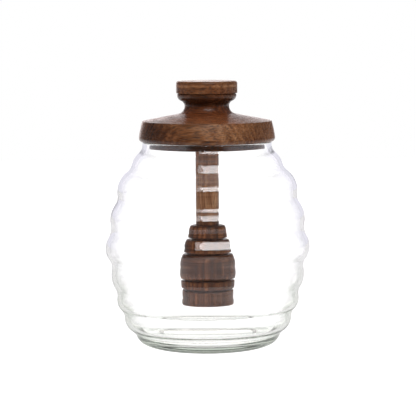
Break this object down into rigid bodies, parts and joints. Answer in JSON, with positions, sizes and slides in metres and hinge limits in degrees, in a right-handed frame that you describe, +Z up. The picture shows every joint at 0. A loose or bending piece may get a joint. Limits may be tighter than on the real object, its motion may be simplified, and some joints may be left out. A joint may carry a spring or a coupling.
{
  "type": "honey jar with dipper",
  "caption": "Ribbed beehive-shaped clear glass jar, empty, with a turned wooden lid resting on its rim and a wooden dipper hanging from the lid.",
  "frame": {"origin": "middle of the jar's foot, on the surface it stands on", "axes": "+Z up through the jar, lid and dipper, about which every piece is turned; -Y towards the viewer"},
  "size_m": [0.1038, 0.1038, 0.1336],
  "materials": {
    "clear_glass": "clear and smooth, very faintly green in its thick base",
    "lid_wood": "dark brown turned hardwood, oiled to a soft gloss",
    "dipper_wood": "dark brown turned hardwood, oiled, with grain along the shaft"
  },
  "bodies": {
    "root": {"glass_jar": "clear_glass", "wooden_lid": "lid_wood", "wooden_dipper": "dipper_wood"}
  },
  "joints": []
}
